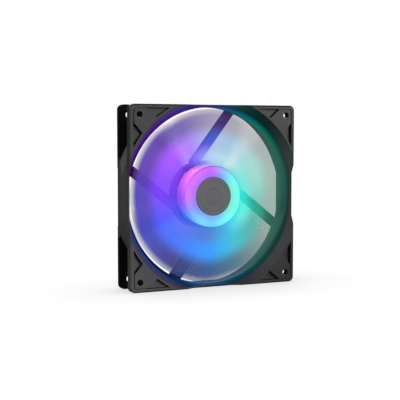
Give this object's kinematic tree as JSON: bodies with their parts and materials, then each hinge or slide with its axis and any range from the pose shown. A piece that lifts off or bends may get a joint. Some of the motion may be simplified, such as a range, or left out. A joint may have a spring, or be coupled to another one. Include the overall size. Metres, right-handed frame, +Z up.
{
  "type": "case fan",
  "caption": "Square axial case fan with a lit translucent impeller, round flared duct, slanted struts behind it and screw holes in both flanges.",
  "frame": {"origin": "centre of the fan: on the impeller's axis, halfway between the intake and outlet faces", "axes": "-Y is the intake side, +Y the outlet side and the air's direction, +Z up with the fan standing on its bottom edge, +X to the right seen from the intake side"},
  "size_m": [0.14, 0.027, 0.14],
  "materials": {
    "black_plastic": "fine moulded grain, satin black",
    "frosted_plastic": "frosted translucent, lit by the LEDs behind it",
    "grey_plastic": "satin mid grey",
    "yoke_steel": "drawn steel, zinc plated",
    "magnet": "bonded ferrite, dull",
    "brass": "turned",
    "shaft_steel": "ground and hardened",
    "sintered_bronze": "sintered, oil filled",
    "nylon": "natural nylon",
    "core_steel": "stacked sheet edges",
    "bobbin_plastic": "natural glass-filled nylon",
    "copper": "enamelled copper wire",
    "pin_metal": "tinned",
    "pcb": "white solder mask",
    "chip_black": "moulded epoxy",
    "capacitor": "ceramic",
    "led_white": "white package with clear lens",
    "label": "blank matt sticker"
  },
  "bodies": {
    "stator": {"frame": "black_plastic", "bearing_tube": "brass", "sleeve_bearing": "sintered_bronze", "oil_seal_ring": "nylon", "shaft_retainer": "nylon", "thrust_pad": "nylon", "tube_cap": "magnet", "stator_core": "core_steel", "bobbin_front": "bobbin_plastic", "bobbin_rear": "bobbin_plastic", "coil_windings": "copper", "winding_pins": "pin_metal", "driver_pcb": "pcb", "driver_ic": "chip_black", "hall_sensor": "chip_black", "pcb_capacitors": "capacitor", "pcb_resistors": "chip_black", "leds": "led_white", "rear_label": "label"},
    "rotor": {"impeller": "frosted_plastic", "hub_disc": "grey_plastic", "rotor_yoke": "yoke_steel", "magnet_ring": "magnet", "shaft_bush": "brass", "shaft": "shaft_steel"}
  },
  "joints": [
    {"name": "rotor_spin", "type": "hinge", "parent": "stator", "child": "rotor", "pos_m": [0, 0, 0], "axis": [0, -1, 0], "continuous": true}
  ]
}
